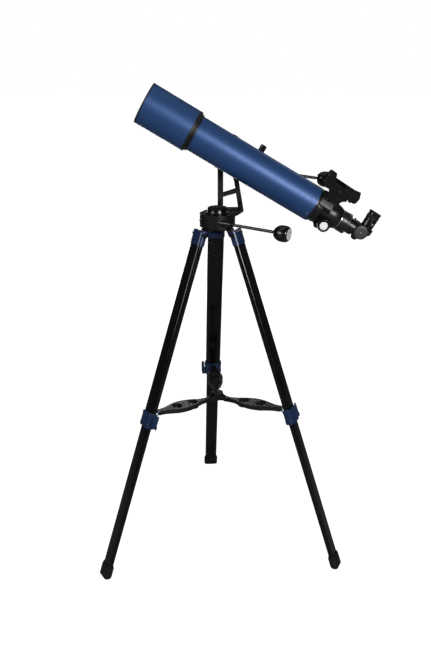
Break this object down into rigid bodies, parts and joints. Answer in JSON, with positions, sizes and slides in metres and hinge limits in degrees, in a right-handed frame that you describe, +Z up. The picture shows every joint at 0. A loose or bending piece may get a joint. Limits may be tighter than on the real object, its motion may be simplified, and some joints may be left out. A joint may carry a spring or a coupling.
{
  "type": "achromatic refractor telescope",
  "caption": "Blue refractor telescope on a single-arm altazimuth mount with slow-motion rods, rack focuser, star diagonal, red-dot finder and an extending tripod with folding tray.",
  "frame": {"origin": "on the floor, directly under the azimuth axis of the mount", "axes": "+Z up along the azimuth axis; the telescope points towards -X at rest, raised 30.2 degrees, and the mount arm stands on its +Y side"},
  "size_m": [0.8548, 0.6975, 1.4616],
  "materials": {
    "tube_blue": "satin metallic",
    "black_metal": "satin",
    "mount_black": "satin powder coat",
    "leg_black": "gloss",
    "drawtube_black": "gloss",
    "navy_fittings": "gloss",
    "black_plastic": "satin",
    "gloss_black": "gloss",
    "cover_grey": "satin",
    "tray_black": "satin",
    "rubber": "matte",
    "screw_steel": "bright",
    "chrome": "bright",
    "silver_cap": "satin",
    "brass": "machined",
    "lens_glass": "coated",
    "window_glass": "coated",
    "mirror": "silvered"
  },
  "bodies": {
    "tripod": {"tripod_head": "mount_black", "pivot_bolts": "black_metal", "azimuth_wheel": "brass"},
    "fork": {"azimuth_housing": "mount_black", "mount_arm": "mount_black"},
    "azimuth_drive": {"azimuth_worm": "screw_steel", "azimuth_control": "gloss_black"},
    "azimuth_clamp": {"azimuth_clamp_knob": "gloss_black"},
    "tube": {"dew_shield": "tube_blue", "objective_cell": "black_plastic", "objective_lenses": "lens_glass", "main_tube": "tube_blue", "rear_cell": "black_metal", "ota_screws": "screw_steel", "focuser_body": "black_metal", "finder_mount": "black_plastic", "finder_body": "black_plastic", "finder_window": "window_glass", "dovetail_bar": "black_metal", "saddle": "mount_black", "altitude_axle": "screw_steel", "altitude_wheel": "brass"},
    "altitude_drive": {"altitude_worm": "screw_steel", "altitude_control": "gloss_black"},
    "saddle_clamp": {"clamp_knob": "gloss_black"},
    "draw": {"drawtube": "drawtube_black", "visual_back": "black_metal"},
    "focus_drive": {"pinion_shaft": "screw_steel", "focus_knobs": "gloss_black", "focus_knob_caps": "silver_cap"},
    "holder_clamp": {"holder_screw": "chrome"},
    "diagonal": {"diagonal_nose": "chrome", "diagonal_body": "gloss_black", "diagonal_mirror": "mirror", "diagonal_side_covers": "cover_grey"},
    "diagonal_clamp": {"diagonal_screw": "chrome"},
    "eyepiece": {"eyepiece_barrel": "chrome", "eyepiece_body": "gloss_black", "eyepiece_rubber": "rubber", "eyepiece_lenses": "lens_glass"},
    "finder_dial": {"finder_switch": "black_plastic"},
    "tray_hub": {"tray_hub": "tray_black"},
    "leg_1": {"leg_upper_1": "leg_black", "leg_fittings_1": "navy_fittings"},
    "leg_low_1": {"leg_lower_1": "leg_black", "leg_foot_1": "rubber"},
    "lever_1": {"leg_lever_1": "navy_fittings"},
    "tray_leaf_1": {"tray_arm_1": "tray_black"},
    "leg_2": {"leg_upper_2": "leg_black", "leg_fittings_2": "navy_fittings"},
    "leg_low_2": {"leg_lower_2": "leg_black", "leg_foot_2": "rubber"},
    "lever_2": {"leg_lever_2": "navy_fittings"},
    "tray_leaf_2": {"tray_arm_2": "tray_black"},
    "leg_3": {"leg_upper_3": "leg_black", "leg_fittings_3": "navy_fittings"},
    "leg_low_3": {"leg_lower_3": "leg_black", "leg_foot_3": "rubber"},
    "lever_3": {"leg_lever_3": "navy_fittings"},
    "tray_leaf_3": {"tray_arm_3": "tray_black"}
  },
  "joints": [
    {"name": "azimuth_turn", "type": "hinge", "parent": "tripod", "child": "fork", "pos_m": [0, 0, 1.08], "axis": [0, 0, 1], "continuous": true},
    {"name": "azimuth_worm_turn", "type": "hinge", "parent": "fork", "child": "azimuth_drive", "pos_m": [-0.01664, -0.02965, 1.0845], "axis": [0.8709, -0.4887, -0.0523], "continuous": true},
    {"name": "azimuth_clamp_turn", "type": "hinge", "parent": "tripod", "child": "azimuth_clamp", "pos_m": [0, 0, 1.11], "axis": [0, 0, 1], "range_deg": [0, 180]},
    {"name": "altitude_tilt", "type": "hinge", "parent": "fork", "child": "tube", "pos_m": [0.032, 0.09, 1.273], "axis": [0, 1, 0], "range_deg": [-35, 25]},
    {"name": "altitude_worm_turn", "type": "hinge", "parent": "fork", "child": "altitude_drive", "pos_m": [0.02588, 0.0895, 1.22943], "axis": [0.9903, 0, -0.1392], "range_deg": [-2100.5, 1500.5]},
    {"name": "saddle_clamp_turn", "type": "hinge", "parent": "tube", "child": "saddle_clamp", "pos_m": [0.12886, 0.062, 1.27475], "axis": [0.503, 0, 0.8643], "range_deg": [0, 360]},
    {"name": "focus_slide", "type": "slide", "parent": "tube", "child": "draw", "axis": [0.8643, 0, -0.503], "range_m": [0, 0.065]},
    {"name": "focus_knob_turn", "type": "hinge", "parent": "tube", "child": "focus_drive", "pos_m": [0.30517, 0, 1.07472], "axis": [0, 1, 0], "range_deg": [0, 777]},
    {"name": "holder_screw_turn", "type": "hinge", "parent": "draw", "child": "holder_clamp", "pos_m": [0.40431, 0, 1.08204], "axis": [0.503, 0, 0.8643], "range_deg": [0, 360]},
    {"name": "diagonal_turn", "type": "hinge", "parent": "draw", "child": "diagonal", "pos_m": [0.38892, 0, 1.06554], "axis": [-0.8643, 0, 0.503], "range_deg": [-180, 180]},
    {"name": "diagonal_screw_turn", "type": "hinge", "parent": "diagonal", "child": "diagonal_clamp", "pos_m": [0.45016, -0.01747, 1.07271], "axis": [0.2076, -0.9707, -0.1208], "range_deg": [0, 360]},
    {"name": "eyepiece_slide", "type": "slide", "parent": "diagonal", "child": "eyepiece", "axis": [0.503, 0, 0.8643], "range_m": [0, 0.024]},
    {"name": "finder_dial_turn", "type": "hinge", "parent": "tube", "child": "finder_dial", "pos_m": [0.34458, -0.06073, 1.17324], "axis": [-0.2666, -0.848, -0.458], "range_deg": [0, 270]},
    {"name": "tray_hub_lift", "type": "slide", "parent": "tripod", "child": "tray_hub", "axis": [0, 0, 1], "range_m": [0, 0.1115]},
    {"name": "leg_fold_1", "type": "hinge", "parent": "tripod", "child": "leg_1", "pos_m": [-0.00384, 0.06107, 1.047], "axis": [-0.998, -0.0628, 0], "range_deg": [0, 4]},
    {"name": "leg_slide_1", "type": "slide", "parent": "leg_1", "child": "leg_low_1", "axis": [0.0206, -0.328, 0.9445], "range_m": [0, 0.44]},
    {"name": "lever_open_1", "type": "hinge", "parent": "leg_1", "child": "lever_1", "pos_m": [-0.05051, 0.25341, 0.48688], "axis": [0.0593, -0.9426, -0.3286], "range_deg": [0, 100]},
    {"name": "tray_leaf_fold_1", "type": "hinge", "parent": "leg_1", "child": "tray_leaf_1", "pos_m": [-0.01394, 0.22156, 0.515], "axis": [-0.998, -0.0628, 0], "range_deg": [0, 34.6]},
    {"name": "leg_fold_2", "type": "hinge", "parent": "tripod", "child": "leg_2", "pos_m": [-0.05096, -0.03386, 1.047], "axis": [0.5534, -0.8329, 0], "range_deg": [0, 4]},
    {"name": "leg_slide_2", "type": "slide", "parent": "leg_2", "child": "leg_low_2", "axis": [0.2737, 0.1819, 0.9445], "range_m": [0, 0.44]},
    {"name": "lever_open_2", "type": "hinge", "parent": "leg_2", "child": "lever_2", "pos_m": [-0.19421, -0.17045, 0.48688], "axis": [0.7867, 0.5227, -0.3286], "range_deg": [0, 100]},
    {"name": "tray_leaf_fold_2", "type": "hinge", "parent": "leg_2", "child": "tray_leaf_2", "pos_m": [-0.18491, -0.12285, 0.515], "axis": [0.5534, -0.8329, 0], "range_deg": [0, 34.6]},
    {"name": "leg_fold_3", "type": "hinge", "parent": "tripod", "child": "leg_3", "pos_m": [0.05481, -0.02721, 1.047], "axis": [0.4446, 0.8957, 0], "range_deg": [0, 4]},
    {"name": "leg_slide_3", "type": "slide", "parent": "leg_3", "child": "leg_low_3", "axis": [-0.2944, 0.1461, 0.9445], "range_m": [0, 0.44]},
    {"name": "lever_open_3", "type": "hinge", "parent": "leg_3", "child": "lever_3", "pos_m": [0.24472, -0.08296, 0.48688], "axis": [-0.846, 0.4199, -0.3286], "range_deg": [0, 100]},
    {"name": "tray_leaf_fold_3", "type": "hinge", "parent": "leg_3", "child": "tray_leaf_3", "pos_m": [0.19885, -0.09871, 0.515], "axis": [0.4446, 0.8957, 0], "range_deg": [0, 34.6]}
  ],
  "couplings": [
    {"joint": "azimuth_worm_turn", "follows": "azimuth_turn", "ratio": 44},
    {"joint": "altitude_worm_turn", "follows": "altitude_tilt", "ratio": 60},
    {"joint": "focus_knob_turn", "follows": "focus_slide", "rad_per_m": 208.33},
    {"joint": "tray_hub_lift", "follows": "leg_fold_1", "m_per_rad": 1.5943},
    {"joint": "tray_leaf_fold_1", "follows": "leg_fold_1", "ratio": 8.64},
    {"joint": "leg_fold_2", "follows": "leg_fold_1", "ratio": 1},
    {"joint": "tray_leaf_fold_2", "follows": "leg_fold_1", "ratio": 8.64},
    {"joint": "leg_fold_3", "follows": "leg_fold_1", "ratio": 1},
    {"joint": "tray_leaf_fold_3", "follows": "leg_fold_1", "ratio": 8.64}
  ]
}
